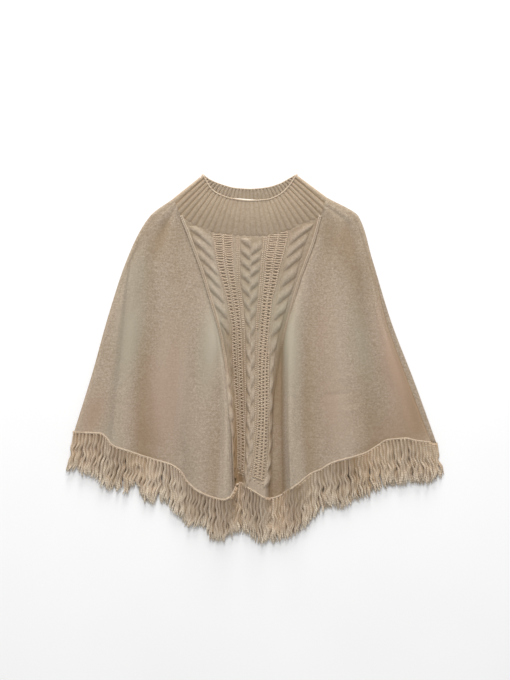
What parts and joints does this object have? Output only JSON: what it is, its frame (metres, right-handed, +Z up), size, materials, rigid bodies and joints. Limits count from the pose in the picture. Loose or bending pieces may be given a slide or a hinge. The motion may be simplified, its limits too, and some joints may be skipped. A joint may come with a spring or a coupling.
{
  "type": "knitted poncho sweater",
  "caption": "Flared knitted poncho laid flat, with a ribbed mock neck, a tapering cable-knit centre panel and a fringed hem.",
  "frame": {"origin": "on the surface the poncho lies on, under the middle of its outline", "axes": "+Z up off the surface and out of the front, +Y toward the neck, +X to the right of someone looking down at the front"},
  "size_m": [0.8329, 0.81, 0.0338],
  "materials": {
    "plain_knit": "heathered oatmeal stocking stitch, matt and slightly hairy",
    "cable_knit": "heathered oatmeal cables, ladders and chain borders",
    "rib_knit": "heathered oatmeal fanning rib with a bound-off edge",
    "edging_yarn": "oatmeal crocheted edging",
    "fringe_yarn": "soft two-ply oatmeal yarn, cut at the tips",
    "label_tape": "bare off-white woven tape"
  },
  "bodies": {
    "root": {"back_panel": "plain_knit", "front_left_panel": "plain_knit", "front_right_panel": "plain_knit", "front_cable_panel": "cable_knit", "collar_front": "rib_knit", "collar_back": "rib_knit", "neck_label": "label_tape", "hem_edging_front": "edging_yarn", "hem_edging_back": "edging_yarn", "fringe_left": "fringe_yarn", "fringe_middle": "fringe_yarn", "fringe_right": "fringe_yarn", "fringe_back": "fringe_yarn"}
  },
  "joints": []
}
